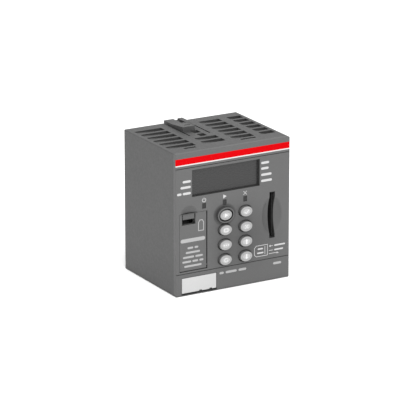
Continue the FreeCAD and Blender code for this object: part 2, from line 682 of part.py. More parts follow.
def battery_door():
    """The door over the battery, with a knuckle and a rounded toe at the bottom and a notch for its latch."""
    axis_v, axis_d = door_axis()
    panel = block(DOOR_U, (DOOR_V[0], axis_v), (0, DOOR_THICKNESS))
    knuckle = cross_rod(DOOR_U, axis_v, axis_d, axis_d)
    toe = block(DOOR_U, (axis_v, DOOR_V[1]), (0, axis_d))
    lower_edge = [e for e in toe.Edges if is_door_edge(e)]
    toe = toe.makeFillet(DOOR_TOE_ROUNDING, lower_edge)
    seat_v = (SPRING_SEAT_V, SPRING_SEAT_V + SPRING_SEAT_HEIGHT)
    spring_seat = block(grow(LATCH_PLATE_U, -SPRING_SEAT_INSET), seat_v, (DOOR_THICKNESS / 2, LATCH_BACK_D))
    door = joined([panel, knuckle, toe, spring_seat])
    cuts = [
        block(LATCH_NOTCH_U, LATCH_NOTCH_V, (-1, DOOR_THICKNESS + 1)),
        block(LATCH_TAB_U, (DOOR_V[0] - 1, LATCH_NOTCH_V[0] + 0.1), (TAB_SLOT_D, DOOR_THICKNESS + 1)),
        cross_rod(grow(DOOR_U, 1), axis_v, axis_d, HINGE_PIN_RADIUS + HINGE_CLEARANCE),
    ]
    return cut_all(door, cuts)


def door_hinge_pin():
    """The steel pin that the battery door turns on."""
    axis_v, axis_d = door_axis()
    return cross_rod(grow(door_opening()[0], HINGE_PIN_HOLD), axis_v, axis_d, HINGE_PIN_RADIUS)


def door_latch():
    """The sliding latch of the battery door: a thumb tab with a frame behind the door that its spring pushes up."""
    left, right = LATCH_PLATE_U
    rail_v = (LATCH_TAB_V[1], LATCH_FOOT_V[1])
    return joined([
        block(LATCH_TAB_U, LATCH_TAB_V, (LATCH_SINK, LATCH_PLATE_D[1])),
        block(LATCH_PLATE_U, (LATCH_TAB_V[0] + SLIDE_GAP, LATCH_TAB_V[1]), LATCH_PLATE_D),
        block((left, left + LATCH_RAIL), rail_v, LATCH_PLATE_D),
        block((right - LATCH_RAIL, right), rail_v, LATCH_PLATE_D),
        block(LATCH_PLATE_U, LATCH_FOOT_V, LATCH_PLATE_D),
        block(grow(LATCH_PLATE_U, -LATCH_FOOT_INSET), LATCH_FOOT_V, (LATCH_PLATE_D[0], LATCH_BACK_D)),
    ])


def door_latch_spring():
    """The small spring between the latch and its seat on the door."""
    u = (LATCH_PLATE_U[0] + LATCH_PLATE_U[1]) / 2
    d = (LATCH_PLATE_D[0] + LATCH_BACK_D) / 2
    end_gap = LATCH_SPRING[1] + 0.02
    length = SPRING_SEAT_V - LATCH_FOOT_V[1] - 2 * end_gap
    return coil_spring(at(u, SPRING_SEAT_V - end_gap, d), Vector(0, 0, 1), length, *LATCH_SPRING)


def battery_bay():
    """The tray behind the battery door, with room in its left wall for the door's toe to swing."""
    tray = block(BAY_U, BAY_V, (COVER_DEPTH, BAY_BACK))
    hollow = block(grow(BAY_U, -BAY_WALL), grow(BAY_V, -BAY_WALL), (0, BAY_BACK - BAY_WALL))
    axis_v, axis_d = door_axis()
    swing = DOOR_V[1] - axis_v + BAY_ROOM
    wall_u = (BAY_U[0] - 1, BAY_U[0] + BAY_WALL + FIT_GAP)
    return cut_all(tray, [hollow, cross_rod(wall_u, axis_v, axis_d, swing)])


def battery_centre_v():
    """Middle height of the battery in its bay."""
    return (BAY_V[0] + BAY_V[1]) / 2


def battery_cell():
    """The round battery cell, upright, with its raised contact at the top."""
    u = (BAY_U[0] + BAY_U[1]) / 2
    v_span = grow((battery_centre_v(), battery_centre_v()), CELL_LENGTH / 2)
    can = upright_rod(u, (v_span[0] + CELL_NUB_HEIGHT, v_span[1]), CELL_D, CELL_RADIUS)
    can = can.makeFillet(EDGE_RADIUS, [e for e in can.Edges if e.Length > CELL_RADIUS * 6])
    nub = upright_rod(u, (v_span[0], v_span[0] + CELL_NUB_HEIGHT + 0.1), CELL_D, CELL_NUB_RADIUS)
    return joined([can, nub])


def battery_contacts():
    """The two contact plates that clip into the bay above and below the cell."""
    u = (BAY_U[0] + BAY_U[1]) / 2
    top_v = (BAY_V[0] + BAY_WALL, battery_centre_v() - CELL_LENGTH / 2)
    foot_v = (battery_centre_v() + CELL_LENGTH / 2, BAY_V[1] - BAY_WALL)
    plates = []
    for v_span in (top_v, foot_v):
        middle = (v_span[0] + v_span[1]) / 2
        plate = centred(u, middle, CONTACT_WIDTH, v_span[1] - v_span[0],
                        grow((CELL_D, CELL_D), CONTACT_DEPTH / 2))
        slit = centred(u, middle, CONTACT_WIDTH - 2, CONTACT_SLIT, (0, CELL_D + CONTACT_DEPTH / 2 - 1))
        plates.append(plate.cut(slit))
    return Part.makeCompound(plates)


# ---------------------------------------------------------------- memory card socket
def card_socket():
    """The metal-shelled socket behind the card slot, with a channel for its push-push slider."""
    shell = block(SOCKET_U, SOCKET_V, SOCKET_D)
    card_space = block(SOCKET_CARD_U, SOCKET_CARD_V, (SOCKET_D[0] - 1, SOCKET_D[1] - SOCKET_BACK))
    channel = block(SOCKET_CARD_U, EJECT_CHANNEL_V, (SOCKET_D[0] + 3, SOCKET_D[1] - SOCKET_BACK))
    return cut_all(shell, [card_space, channel])


def card_contacts():
    """The row of spring contacts on the left wall of the card space."""
    u = SOCKET_CARD_U[0] + CARD_CONTACT_SIZE[0] / 2
    contacts = []
    for number in range(CARD_CONTACT_COUNT):
        v = CARD_CONTACT_FIRST_V + number * CARD_CONTACT_PITCH
        contacts.append(centred(u, v, CARD_CONTACT_SIZE[0], CARD_CONTACT_SIZE[1], CARD_CONTACT_D))
    return Part.makeCompound(contacts)


def card_eject_slider():
    """The slider that a pushed card moves back, with the arm that the card rests on."""
    body_u = grow(SOCKET_CARD_U, -SLIDE_GAP)
    channel_v = grow(EJECT_CHANNEL_V, -SLIDE_GAP)
    body = block(body_u, channel_v, SLIDER_D)
    reach, thickness = SLIDER_ARM
    arm = block(body_u, (SOCKET_CARD_V[1] - reach, channel_v[1]), (SLIDER_D[1] - thickness, SLIDER_D[1]))
    return joined([body, arm])


def card_eject_spring():
    """The spring that pushes the slider and the card forward again."""
    u = (SOCKET_CARD_U[0] + SOCKET_CARD_U[1]) / 2
    v = (EJECT_CHANNEL_V[0] + EJECT_CHANNEL_V[1]) / 2
    start_d = SLIDER_D[1] + EJECT_SPRING_GAP
    length = SOCKET_D[1] - SOCKET_BACK - EJECT_SPRING_GAP - start_d
    return coil_spring(at(u, v, start_d), Vector(0, 1, 0), length, *EJECT_SPRING)


# ---------------------------------------------------------------- circuit boards
def front_board():
    """The board behind the keys and the display, cut out for the battery bay and the card socket."""
    board_d = (FRONT_BOARD_D, FRONT_BOARD_D + BOARD_THICKNESS)
    board = block((FRONT_BOARD_MARGIN, WIDTH - FRONT_BOARD_MARGIN),
                  (FRONT_BOARD_MARGIN, HEIGHT - FRONT_BOARD_MARGIN), board_d)
    through = (FRONT_BOARD_D - 1, board_d[1] + 1)
    cuts = [bay_room(through), block(grow(SOCKET_U, BAY_ROOM), grow(SOCKET_V, BAY_ROOM), through)]
    cuts += [rod(u, v, SCREW_SHANK_RADIUS + FIT_GAP, through) for u, v in FRONT_SCREWS]
    return cut_all(board, cuts)


def front_board_screws():
    """The screws that hold the front board to the cover's posts."""
    head_d = FRONT_BOARD_D + BOARD_THICKNESS + SCREW_HEAD_HEIGHT
    tip_d = COVER_DEPTH + BOARD_THICKNESS
    return Part.makeCompound([screw(u, v, head_d, tip_d) for u, v in FRONT_SCREWS])


def inner_board(u):
    """A board that stands from front to rear inside the housing."""
    return block((u, u + BOARD_THICKNESS), INNER_BOARD_V, INNER_BOARD_D)


def board_links():
    """The connectors between the front board and the two inner boards."""
    links = []
    for u in (CPU_BOARD_U, POWER_BOARD_U):
        middle = u + BOARD_THICKNESS / 2
        links.append(centred(middle, HEIGHT / 2, LINK_SIZE[0], LINK_SIZE[1],
                             (FRONT_BOARD_D + BOARD_THICKNESS, INNER_BOARD_D[0])))
    return Part.makeCompound(links)


def processor():
    """The processor chip on the processor board."""
    v_span, d_span, thickness = PROCESSOR
    return block((CPU_BOARD_U - thickness, CPU_BOARD_U), v_span, d_span)


def memory_chips():
    """The two memory chips beside the processor."""
    tops, height, d_span, thickness = MEMORY
    return Part.makeCompound([
        block((CPU_BOARD_U - thickness, CPU_BOARD_U), (v, v + height), d_span) for v in tops
    ])


def interface_chips():
    """The interface chips on the other side of the processor board."""
    tops, height, d_span, thickness = INTERFACE
    side = CPU_BOARD_U + BOARD_THICKNESS
    return Part.makeCompound([block((side, side + thickness), (v, v + height), d_span) for v in tops])


def side_can(v, d, radius, length, sink=0.0):
    """A round component that stands on the power board, towards the middle of the housing."""
    return Part.makeCylinder(radius, length + sink, at(POWER_BOARD_U - length, v, d), Vector(1, 0, 0))


def power_capacitors():
    """The smoothing capacitors on the power board."""
    return Part.makeCompound([side_can(v, d, *CAPACITOR) for v, d in CAPACITOR_PLACES])


def power_inductor():
    """The ring core of the storage choke, held off the power board by its winding."""
    v, d, radius, hole_radius, thickness = CHOKE
    ring = side_can(v, d, radius, thickness).cut(side_can(v, d, hole_radius, thickness, 1.0))
    ring.translate(Vector(-CHOKE_WIRE - WINDING_GAP, 0, 0))
    return ring


def choke_winding():
    """The wire turns round the ring core of the choke."""
    v, d, radius, hole_radius, thickness = CHOKE
    inner_d = (d + hole_radius - WINDING_GAP, d + radius + WINDING_GAP)
    right = POWER_BOARD_U - CHOKE_WIRE
    inner_u = (right - thickness - 2 * WINDING_GAP, right)
    flat_v = grow((v, v), CHOKE_WIRE / 2)
    turn = block(grow(inner_u, CHOKE_WIRE), flat_v, grow(inner_d, CHOKE_WIRE)).cut(
        block(inner_u, grow(flat_v, 1), inner_d))
    turns = []
    for index in range(CHOKE_TURNS):
        placed = turn.copy()
        placed.rotate(at(0, v, d), Vector(1, 0, 0), index * 360 / CHOKE_TURNS)
        turns.append(placed)
    return Part.makeCompound(turns)


def power_transformer():
    """The transformer on the power board: a core with two windows for its windings."""
    v_span, d_span, thickness = TRANSFORMER
    core = block((POWER_BOARD_U - thickness, POWER_BOARD_U), v_span, d_span)
    window = (v_span[1] - v_span[0] - 3 * TRANSFORMER_LEG) / 2
    tops = (v_span[0] + TRANSFORMER_LEG, v_span[1] - TRANSFORMER_LEG - window)
    windows = [
        block((POWER_BOARD_U - thickness - 1, POWER_BOARD_U - TRANSFORMER_LEG), (v, v + window), grow(d_span, 1))
        for v in tops
    ]
    return cut_all(core, windows)


def transformer_winding():
    """The copper winding round the middle leg of the transformer."""
    v_span, d_span, thickness = TRANSFORMER
    middle = (v_span[0] + v_span[1]) / 2
    u_span = (POWER_BOARD_U - thickness + WINDING_GAP, POWER_BOARD_U - TRANSFORMER_LEG - WINDING_GAP)
    coil = block(u_span, grow(v_span, -TRANSFORMER_LEG - WINDING_GAP), grow(d_span, WINDING_BULGE))
    corners = [e for e in coil.Edges if e.BoundBox.XLength > EDGE_RADIUS]
    leg_v = grow((middle, middle), TRANSFORMER_LEG / 2 + WINDING_GAP)
    leg = block(grow(u_span, 1), leg_v, grow(d_span, WINDING_GAP))
    return coil.makeFillet(WINDING_BULGE / 2, corners).cut(leg)


# ---------------------------------------------------------------- rear plugs
def rear_plug(u_span):
    """A plug body that carries the pins to the terminal base, open to the rear."""
    body = block(u_span, PLUG_V, (INNER_BOARD_D[1], DEPTH + PLUG_REACH))
    mouth = block(grow(u_span, -PLUG_WALL), grow(PLUG_V, -PLUG_WALL), (PLUG_FLOOR_D, DEPTH + PLUG_REACH + 1))
    key_slot = block((u_span[0] - 1, u_span[0] + PLUG_WALL + 1), PLUG_KEY_V, (DEPTH + 3, DEPTH + PLUG_REACH + 1))
    return cut_all(body, [mouth, key_slot])


def rear_pins():
    """The contact pins of both plugs."""
    pins = []
    for u_span, (count, pitch) in zip(PLUG_U, PIN_ROWS):
        middle = (u_span[0] + u_span[1]) / 2
        first_v = HEIGHT / 2 - (count - 1) * pitch / 2
        for column in PIN_COLUMNS:
            for number in range(count):
                v = first_v + number * pitch
                pins.append(centred(middle + column, v, PIN_SIZE, PIN_SIZE, (PLUG_FLOOR_D, PIN_TIP_D)))
    return Part.makeCompound(pins)


# ---------------------------------------------------------------- everything
def all_parts():
    """Each node's name and shape."""
    parts = {
        "main_housing": main_housing(),
        "rear_cover": rear_cover(),
        "rear_cover_screws": rear_cover_screws(),
        "top_release_latch": snap_latch(with_pad=True),
        "bottom_release_latch": bottom_latch(),
        "front_cover": front_cover(),
        "red_strip": red_strip(),
        "strip_line": strip_line(),
        "marker_label": marker_label(),
        "display_window": display_window(),
        "lcd_frame": lcd_frame(),
        "lcd_glass": lcd_glass(),
        "backlight_panel": backlight_panel(),
        "lcd_connectors": lcd_connectors(),
        "led_light_pipes": led_light_pipes(),
        "status_leds": status_leds(),
        "keypad_mat": keypad_mat(),
        "battery_door": battery_door(),
        "door_hinge_pin": door_hinge_pin(),
        "door_latch": door_latch(),
        "door_latch_spring": door_latch_spring(),
        "battery_bay": battery_bay(),
        "battery_cell": battery_cell(),
        "battery_contacts": battery_contacts(),
        "card_socket": card_socket(),
        "card_contacts": card_contacts(),
        "card_eject_slider": card_eject_slider(),
        "card_eject_spring": card_eject_spring(),
        "front_board": front_board(),
        "front_board_screws": front_board_screws(),
        "board_links": board_links(),
        "cpu_board": inner_board(CPU_BOARD_U),
        "processor": processor(),
        "memory_chips": memory_chips(),
        "interface_chips": interface_chips(),
        "power_board": inner_board(POWER_BOARD_U),
        "power_capacitors": power_capacitors(),
        "power_inductor": power_inductor(),
        "choke_winding": choke_winding(),
        "power_transformer": power_transformer(),
        "transformer_winding": transformer_winding(),
        "rear_plug_left": rear_plug(PLUG_U[0]),
        "rear_plug_right": rear_plug(PLUG_U[1]),
        "rear_pins": rear_pins(),
    }
    for number, u, v in key_places():
        parts[f"key_{number}_plunger"] = key_plunger(u, v)
        parts[f"key_{number}_cap"] = key_cap(u, v)
    return parts


def main():
    """Write one STEP file per node."""
    os.makedirs("parts", exist_ok=True)
    for name, shape in all_parts().items():
        solids = shape.Solids
        box = shape.BoundBox
        sound = shape.isValid() and all(solid.Volume > 0 for solid in solids)
        print(f"{name:24s} solids {len(solids):3d} valid {sound} volume {shape.Volume:9.1f}"
              f"  x {box.XMin:7.2f} {box.XMax:7.2f}  y {box.YMin:7.2f} {box.YMax:7.2f}"
              f"  z {box.ZMin:7.2f} {box.ZMax:7.2f}")
        shape.exportStep(f"parts/{name}.step")


main()
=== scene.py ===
import json
import math

import bmesh
import bpy
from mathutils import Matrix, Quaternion, Vector


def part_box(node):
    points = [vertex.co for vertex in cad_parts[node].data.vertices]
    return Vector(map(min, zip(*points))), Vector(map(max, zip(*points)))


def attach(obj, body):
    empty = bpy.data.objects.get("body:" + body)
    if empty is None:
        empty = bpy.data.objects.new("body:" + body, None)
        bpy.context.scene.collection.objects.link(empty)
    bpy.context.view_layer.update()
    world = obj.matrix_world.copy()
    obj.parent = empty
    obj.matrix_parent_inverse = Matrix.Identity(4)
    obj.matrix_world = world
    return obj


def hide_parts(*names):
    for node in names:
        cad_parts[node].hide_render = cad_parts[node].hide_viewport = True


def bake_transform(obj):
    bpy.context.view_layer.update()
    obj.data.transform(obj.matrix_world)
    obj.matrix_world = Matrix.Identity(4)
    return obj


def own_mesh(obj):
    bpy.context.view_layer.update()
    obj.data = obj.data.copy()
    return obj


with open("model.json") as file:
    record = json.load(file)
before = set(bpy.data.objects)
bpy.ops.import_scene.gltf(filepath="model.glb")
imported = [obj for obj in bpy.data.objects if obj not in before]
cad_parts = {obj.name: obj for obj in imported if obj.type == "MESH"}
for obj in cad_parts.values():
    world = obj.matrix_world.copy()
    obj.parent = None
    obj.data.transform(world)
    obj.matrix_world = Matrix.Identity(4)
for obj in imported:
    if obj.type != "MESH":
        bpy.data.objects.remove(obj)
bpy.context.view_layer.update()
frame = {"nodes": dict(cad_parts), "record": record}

# ---------------------------------------------------------------- places on the face
# u runs across the face from its left edge and v down from its top edge, both in millimetres,
# and d is the depth behind the front plane.
MM = 0.001
COVER_LOW, COVER_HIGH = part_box("front_cover")
FRONT_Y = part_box("red_strip")[0].y
INK = 0.02                  # thickness of the printed marks
CURVE_STEPS = 12            # segments in a quarter circle of a mark
CORNER_STEPS = 4            # segments in a bar's rounded corner


def at(u, v, d=0.0):
    """The point at face coordinates u, v and depth d, in metres."""
    return Vector((COVER_LOW.x + u * MM, FRONT_Y + d * MM, COVER_HIGH.z - v * MM))


def face_span(node):
    """Spans in u, v and d that a CAD node's box covers."""
    low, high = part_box(node)
    u_span = ((low.x - COVER_LOW.x) / MM, (high.x - COVER_LOW.x) / MM)
    v_span = ((COVER_HIGH.z - high.z) / MM, (COVER_HIGH.z - low.z) / MM)
    d_span = ((low.y - FRONT_Y) / MM, (high.y - FRONT_Y) / MM)
    return u_span, v_span, d_span


def middle(span):
    return (span[0] + span[1]) / 2


# ---------------------------------------------------------------- node helpers
# The colour sockets of Blender's Mix node, by number: its names stand for several sockets each.
MIX_FACTOR = 0
MIX_FIRST = 6
MIX_SECOND = 7
MIX_RESULT = 2
# Painted shade: a piece's corners and recesses are darkened in its colour, as if shade fell there.
OWN_SHADE_POWER = 4.0             # how strongly a piece's own walls darken it
BESIDE_SHADE_POWER = 0.5          # how strongly its neighbours do


class Tree:
    """A material's node tree, with short calls to add and join nodes."""

    def __init__(self, name):
        self.material = bpy.data.materials.new(name)
        self.material.use_nodes = True
        self.nodes = self.material.node_tree.nodes
        self.links = self.material.node_tree.links
        self.shader = self.nodes["Principled BSDF"]
        self.coords = self.nodes.new("ShaderNodeTexCoord").outputs["Object"]

    def put(self, socket, value):
        """Set an input to a number or colour, or join it to another node's output."""
        if isinstance(value, bpy.types.NodeSocket):
            self.links.new(value, socket)
        else:
            socket.default_value = value

    def add(self, kind, output, inputs, **settings):
        """Add a node, fill its inputs by name or number, and give back one of its outputs."""
        made = self.nodes.new(kind)
        for name, value in settings.items():
            setattr(made, name, value)
        for key, value in inputs.items():
            self.put(made.inputs[key], value)
        return made.outputs[output]

    def surface(self, **values):
        """Fill the shader's inputs, with an underscore for each space in a socket's name."""
        for name, value in values.items():
            self.put(self.shader.inputs[name.replace("_", " ")], value)

    def noise(self, scale, detail=2.0, roughness=0.5, coords=None):
        """A noise value from 0 to 1; scale is in cycles per metre."""
        coords = coords or self.coords
        inputs = {"Vector": coords, "Scale": scale, "Detail": detail, "Roughness": roughness}
        return self.add("ShaderNodeTexNoise", "Fac", inputs)

    def remap(self, value, low, high, from_low=0.3, from_high=0.7, interpolation_type="LINEAR"):
        """A value carried from one range to another, and kept inside it."""
        source = {"Value": value, "From Min": from_low, "From Max": from_high}
        target = {"To Min": low, "To Max": high}
        return self.add("ShaderNodeMapRange", "Result", source | target,
                        interpolation_type=interpolation_type)

    def maths(self, operation, first, second=0.0, third=0.0):
        return self.add("ShaderNodeMath", 0, {0: first, 1: second, 2: third}, operation=operation)

    def vector(self, operation, output, *inputs):
        return self.add("ShaderNodeVectorMath", output, dict(enumerate(inputs)), operation=operation)

    def coordinate(self, axis):
        """One object coordinate, in metres."""
        return self.add("ShaderNodeSeparateXYZ", axis, {0: self.coords})

    def mix(self, factor, first, second, blend_type="MIX"):
        """A colour between two."""
        inputs = {MIX_FACTOR: factor, MIX_FIRST: first, MIX_SECOND: second}
        return self.add("ShaderNodeMix", MIX_RESULT, inputs, data_type="RGBA", blend_type=blend_type)

    def shade(self, colour, factor):
        """A colour made darker or lighter by a factor that may vary over the surface."""
        return self.mix(1.0, colour, factor, "MULTIPLY")

    def bump(self, height, distance, strength=1.0, normal=None):
        """A bumped normal; distance is in metres."""
        inputs = {"Height": height, "Distance": distance, "Strength": strength}
        if normal is not None:
            inputs["Normal"] = normal
        return self.add("ShaderNodeBump", "Normal", inputs)

    def soft_edges(self, radius):
        """A normal that rounds sharp edges over a radius in metres."""
        return self.add("ShaderNodeBevel", "Normal", {"Radius": radius}, samples=6)

    def edge_mask(self, rounded):
        """1 along edges and 0 elsewhere, from a rounded normal."""
        flat = self.add("ShaderNodeNewGeometry", "Normal", {})
        along = self.vector("DOT_PRODUCT", "Value", rounded, flat)
        return self.remap(along, 1.0, 0.0, 0.75, 0.995)

    def openness(self, reach, only_local):
        """1 where no wall stands within a distance, lower in corners."""
        return self.add("ShaderNodeAmbientOcclusion", "AO", {"Distance": reach},
                        samples=8, only_local=only_local)

    def painted_hollow_shade(self, reach, darkest):
        """Painted shade: 1 on open faces, lower in the piece's own recesses and a little beside its
        neighbours, where shade would fall.
        """
        own = self.openness(reach, only_local=True)
        own = self.maths("MAXIMUM", self.maths("POWER", own, OWN_SHADE_POWER), darkest)
        beside = self.openness(reach / 2, only_local=False)
        return self.maths("MULTIPLY", own, self.maths("POWER", beside, BESIDE_SHADE_POWER))

    def painted_shade(self, place, size, tone, start):
        """Painted shade: a darker tone in an oval, from a share of its reach, and 1 outside it."""
        offset = self.vector("SUBTRACT", "Vector", self.coords, at(*place))
        stretch = (2 / (size[0] * MM), 0.0, 2 / (size[1] * MM))
        scaled = self.vector("MULTIPLY", "Vector", offset, stretch)
        reach = self.vector("LENGTH", "Value", scaled)
        return self.remap(reach, tone, 1.0, start, 1.0, "SMOOTHSTEP")

    def inside(self, spans):
        """1 where a point lies in any window, given as a u span and a v span, seen from the front."""
        x, z = self.coordinate("X"), self.coordinate("Z")
        total = 0.0
        for u_span, v_span in spans:
            centre = at(middle(u_span), middle(v_span))
            in_x = self.maths("COMPARE", x, centre.x, (u_span[1] - u_span[0]) / 2 * MM)
            in_z = self.maths("COMPARE", z, centre.z, (v_span[1] - v_span[0]) / 2 * MM)
            total = self.maths("MAXIMUM", total, self.maths("MULTIPLY", in_x, in_z))
        return total


def grey(level):
    """A neutral colour from one linear value."""
    return (level, level, level, 1.0)


# ---------------------------------------------------------------- materials
OPENING_EDGE = 0.03         # how far past an opening's edge its painted shade reaches, in mm


def wider(span, margin):
    return (span[0] - margin, span[1] + margin)


# Scales of moulded plastic, in cycles per metre: its grain, blotches, wear and gloss.
GRAIN_SCALE = 5200.0
BLOTCH_SCALE = 60.0
WORN_SCALE = 420.0
GLOSS_SCALE = 900.0
WORN_RADIUS = 0.00018       # how far an edge is rounded and worn, in metres
WORN_TONE = grey(1.45)      # a worn edge against the fresh plastic
WORN_SHARE = 0.35
# Painted shade: near black on the inner walls of deep openings.
OPENING_SHADE = grey(0.035)
# Painted shade in each recess: how near a wall must be to make one, in metres, and how dark the
# painted shade gets.
DEEP_HOLLOW_SHADE = (0.004, 0.55)
VENT_HOLLOW_SHADE = (0.005, 0.68)
FACE_HOLLOW_SHADE = (0.0022, 0.55)
KEY_HOLLOW_SHADE = (0.001, 0.55)


def moulded(name, colour, roughness=0.5, grain=0.00001, specular=0.35, shaded_openings=(),
            painted_shade=(), hollow_shade=DEEP_HOLLOW_SHADE):
    """Grained matt plastic: fine spark-eroded grain, faint blotches and paler worn edges, with
    painted shade in its recesses, in given ovals and on the inner walls of given openings.
    """
    tree = Tree(name)
    blotch = tree.remap(tree.noise(BLOTCH_SCALE, 3.0), 0.98, 1.015)
    fine = tree.noise(GRAIN_SCALE, 3.0, 0.6)
    speck = tree.remap(fine, 0.93, 1.06)
    base = tree.shade(tree.shade(colour, blotch), speck)
    rounded = tree.soft_edges(WORN_RADIUS)
    patchy = tree.remap(tree.noise(WORN_SCALE, 4.0), 0.0, 1.0)
    worn = tree.maths("MULTIPLY", tree.edge_mask(rounded), patchy)
    worn = tree.maths("MULTIPLY", worn, WORN_SHARE)
    base = tree.mix(worn, base, tree.shade(colour, WORN_TONE))
    # Painted shade: darker in the piece's own recesses and beside its neighbours.
    base = tree.shade(base, tree.painted_hollow_shade(*hollow_shade))
    # Painted shade in ovals, as if shade gathered there.
    for shade_oval in painted_shade:
        base = tree.shade(base, tree.painted_shade(*shade_oval))
    # Painted shade: the inner walls of the display window and the card slot are painted near black.
    if shaded_openings:
        base = tree.mix(tree.inside(shaded_openings), base, OPENING_SHADE)
    coarse = tree.noise(GRAIN_SCALE / 3.5, 2.0)
    height = tree.maths("ADD", fine, tree.maths("MULTIPLY", coarse, 0.6))
    gloss = tree.noise(GLOSS_SCALE, 3.0)
    tree.surface(Base_Color=base, Normal=tree.bump(height, grain, 0.7, rounded),
                 Roughness=tree.remap(gloss, roughness - 0.05, roughness + 0.07),
                 Specular_IOR_Level=specular)
    return tree.material


def satin_film(name, colour, roughness=0.35, specular=0.3):
    """Printed film or enamel: smooth, with faint orange peel and tiny scuffs."""
    tree = Tree(name)
    tone = tree.remap(tree.noise(150.0, 3.0), 0.97, 1.02)
    scuff = tree.remap(tree.noise(2600.0, 4.0, 0.65), 0.0, 0.12, 0.62, 0.78)
    base = tree.mix(scuff, tree.shade(colour, tone), grey(0.5))
    tree.surface(Base_Color=base,
                 Roughness=tree.remap(tree.noise(700.0), roughness - 0.04, roughness + 0.08),
                 Normal=tree.bump(tree.noise(1200.0), 0.000004, 0.5), Specular_IOR_Level=specular)
    return tree.material


def smoked_pane(name):
    """Smoked acrylic: dark and even, with a soft gloss, dust specks and hairline scratches."""
    tree = Tree(name)
    dust = tree.remap(tree.noise(3600.0, 5.0, 0.7), 0.0, 0.25, 0.7, 0.85)
    base = tree.mix(dust, grey(0.02), grey(0.05))
    stretched = tree.add("ShaderNodeMapping", 0, {"Vector": tree.coords, "Scale": (1.0, 1.0, 14.0)})
    hairline = tree.noise(420.0, 3.0, coords=stretched)
    tree.surface(Base_Color=base, Roughness=tree.remap(hairline, 0.2, 0.34),
                 Normal=tree.bump(hairline, 0.000002, 0.4), Specular_IOR_Level=0.4)
    return tree.material


def clear_glass(name, colour, alpha):
    """Display glass with a faint tint."""
    tree = Tree(name)
    smear = tree.remap(tree.noise(240.0, 3.0), 0.06, 0.16)
    tint = tree.shade(colour, tree.remap(tree.noise(90.0), 0.95, 1.05))
    tree.surface(Base_Color=tint, Roughness=smear, Alpha=alpha)
    return tree.material


def brushed_metal(name, colour, roughness=0.32, stretch=(1.0, 12.0, 1.0)):
    """Drawn or rolled metal, with fine lines along its length and dull handling marks."""
    tree = Tree(name)
    lines_at = tree.add("ShaderNodeMapping", 0, {"Vector": tree.coords, "Scale": stretch})
    lines = tree.noise(2200.0, 3.0, coords=lines_at)
    dull = tree.noise(500.0, 4.0)
    tree.surface(Base_Color=tree.shade(colour, tree.remap(dull, 0.86, 1.05)),
                 Roughness=tree.remap(dull, roughness - 0.08, roughness + 0.12),
                 Normal=tree.bump(lines, 0.000003, 0.6, tree.soft_edges(0.00006)), Metallic=1.0)
    return tree.material


MASK_DARK = (0.006, 0.075, 0.022, 1.0)
MASK_LIGHT = (0.012, 0.14, 0.045, 1.0)
PAD_GOLD = (0.55, 0.42, 0.2, 1.0)


def circuit_board(name):
    """Green solder mask over copper tracks, with bare pads."""
    tree = Tree(name)
    cells = tree.add("ShaderNodeTexVoronoi", "Distance", {"Vector": tree.coords, "Scale": 420.0},
                     distance="MANHATTAN")
    track = tree.remap(tree.maths("SINE", tree.maths("MULTIPLY", cells, 26.0)), 0.0, 1.0, 0.1, 0.5)
    base = tree.mix(track, MASK_DARK, MASK_LIGHT)
    spots = tree.add("ShaderNodeTexVoronoi", "Distance", {"Vector": tree.coords, "Scale": 300.0})
    pads = tree.remap(spots, 1.0, 0.0, 0.1, 0.13)
    base = tree.mix(pads, base, PAD_GOLD)
    tree.surface(Base_Color=base, Roughness=tree.remap(pads, 0.3, 0.45, 0.0, 1.0),
                 Normal=tree.bump(track, 0.00003, 0.6))
    return tree.material


def chip_package(name):
    """Black moulded chip body with a fine matt skin."""
    tree = Tree(name)
    fine = tree.noise(4200.0, 4.0, 0.7)
    tree.surface(Base_Color=tree.mix(fine, grey(0.008), grey(0.022)),
                 Roughness=tree.remap(fine, 0.5, 0.7),
                 Normal=tree.bump(fine, 0.000008, 0.6, tree.soft_edges(0.0001)))
    return tree.material


def rubber(name, colour):
    """Silicone rubber with a dusty, soft surface."""
    tree = Tree(name)
    dust = tree.noise(1500.0, 4.0, 0.65)
    tree.surface(Base_Color=tree.shade(colour, tree.remap(dust, 0.9, 1.12)),
                 Roughness=tree.remap(dust, 0.62, 0.8),
                 Normal=tree.bump(dust, 0.00001, 0.6))
    return tree.material


WIRE_PITCH = 0.0004         # from one turn of a winding to the next, in metres
COPPER = (0.42, 0.15, 0.05, 1.0)


def wound_wire(name):
    """Enamelled copper winding: fine turns side by side."""
    tree = Tree(name)
    turns = tree.maths("SINE", tree.maths("MULTIPLY", tree.coordinate("X"), 2 * math.pi / WIRE_PITCH))
    tone = tree.remap(turns, 0.55, 1.1, -1.0, 1.0)
    tree.surface(Base_Color=tree.shade(COPPER, tone),
                 Roughness=tree.remap(tree.noise(800.0), 0.25, 0.4),
                 Normal=tree.bump(turns, 0.00006, 0.8), Metallic=0.85)
    return tree.material


WINDOW_SPANS = ((9.5, 49.4), (9.4, 23.6))   # the display's window and the card slot, in u and v
SLOT_SPANS = ((55.4, 58.6), (28.15, 53.0))
# Ovals of painted shade, round the keys, in the card slot's dish and in the scoop over the latch:
# middle, width and height, tone, and where the fade starts.
KEYPAD_SHADE = ((40.0, 50.0), (60.0, 52.0), 0.76, 0.1)
DISH_SHADE = ((56.9, 40.75), (12.3, 20.6), 0.86, 0.86)
SCOOP_SHADE = ((7.8, 32.6), (10.4, 9.6), 0.88, 0.8)


def shaded_window(spans):
    """The window of an opening whose inner walls get painted shade, a little past its edge."""
    return wider(spans[0], OPENING_EDGE), wider(spans[1], OPENING_EDGE)


